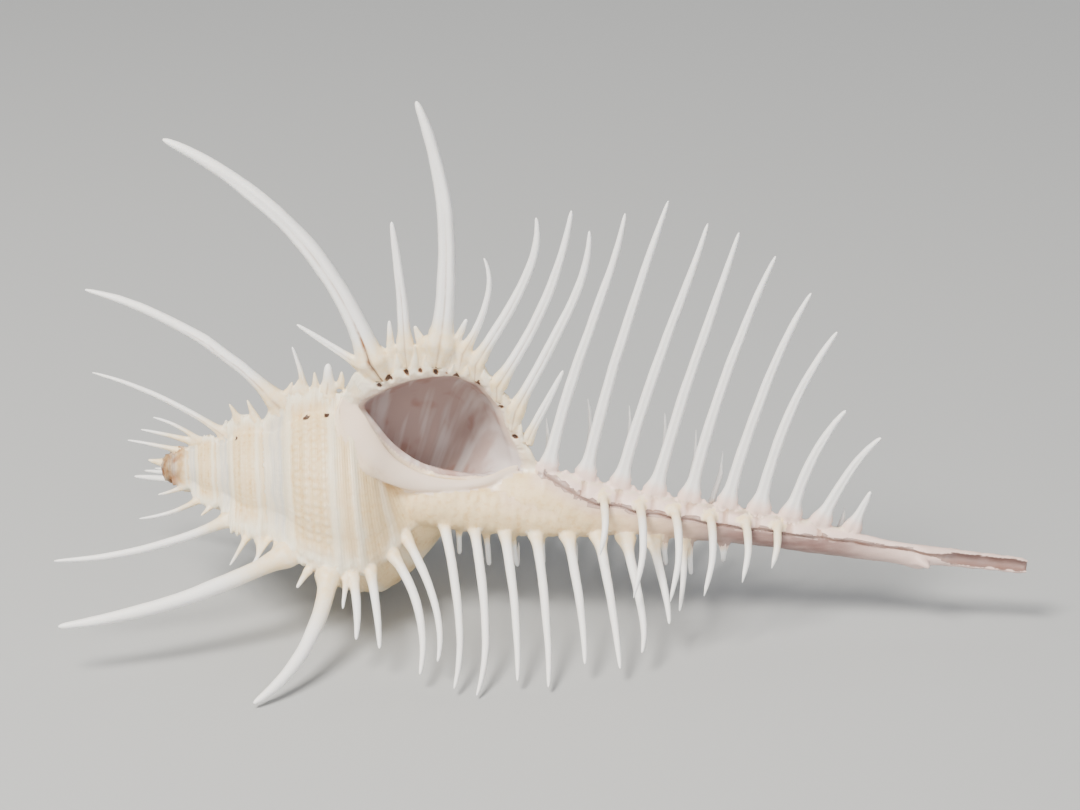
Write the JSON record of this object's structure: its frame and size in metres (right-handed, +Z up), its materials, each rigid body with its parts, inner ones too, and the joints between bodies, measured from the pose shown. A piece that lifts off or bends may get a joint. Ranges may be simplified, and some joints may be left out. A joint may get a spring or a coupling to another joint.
{
  "type": "murex shell",
  "caption": "Spiny Venus comb murex seashell with a short spire, a glazed mouth and a long siphonal canal, lying on the tips of its spine combs.",
  "frame": {"origin": "middle of the floor of the shell's bounding box, at the level of the spine tips that it rests on", "axes": "+X runs from the spire towards the tip of the siphonal canal, -Y is the side that the mouth faces, +Z is up"},
  "size_m": [0.1412, 0.0798, 0.0789],
  "materials": {
    "shell": "satin calcareous shell"
  },
  "bodies": {
    "root": {"murex_shell": "shell"}
  },
  "joints": []
}
